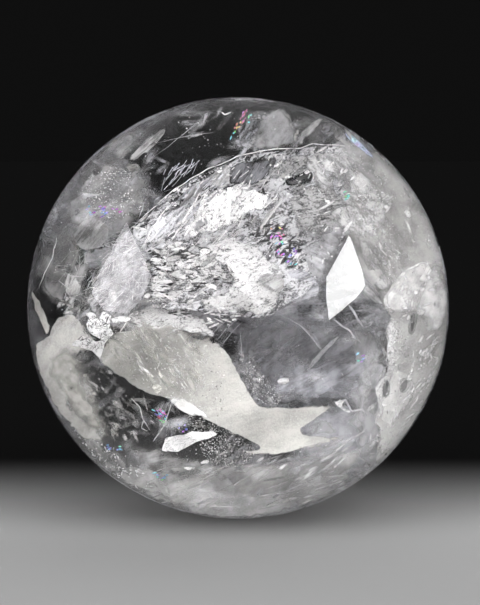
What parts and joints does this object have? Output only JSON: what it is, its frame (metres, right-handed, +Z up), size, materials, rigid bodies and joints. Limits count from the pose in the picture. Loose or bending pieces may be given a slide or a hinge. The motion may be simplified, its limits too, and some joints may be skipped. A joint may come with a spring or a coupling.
{
  "type": "quartz sphere",
  "caption": "Polished clear quartz sphere with milky veils and mirror-like fractures inside, standing on a small ground flat.",
  "frame": {"origin": "middle of the ground flat that the sphere stands on, its lowest point", "axes": "+Z up through the sphere's centre; -Y is the side that the picture shows, and +X is to the right there"},
  "size_m": [0.08, 0.08, 0.0795],
  "materials": {
    "clear_quartz": "polished colourless quartz, see-through, with white and grey veils inside"
  },
  "bodies": {
    "root": {"quartz_sphere": "clear_quartz"}
  },
  "joints": []
}
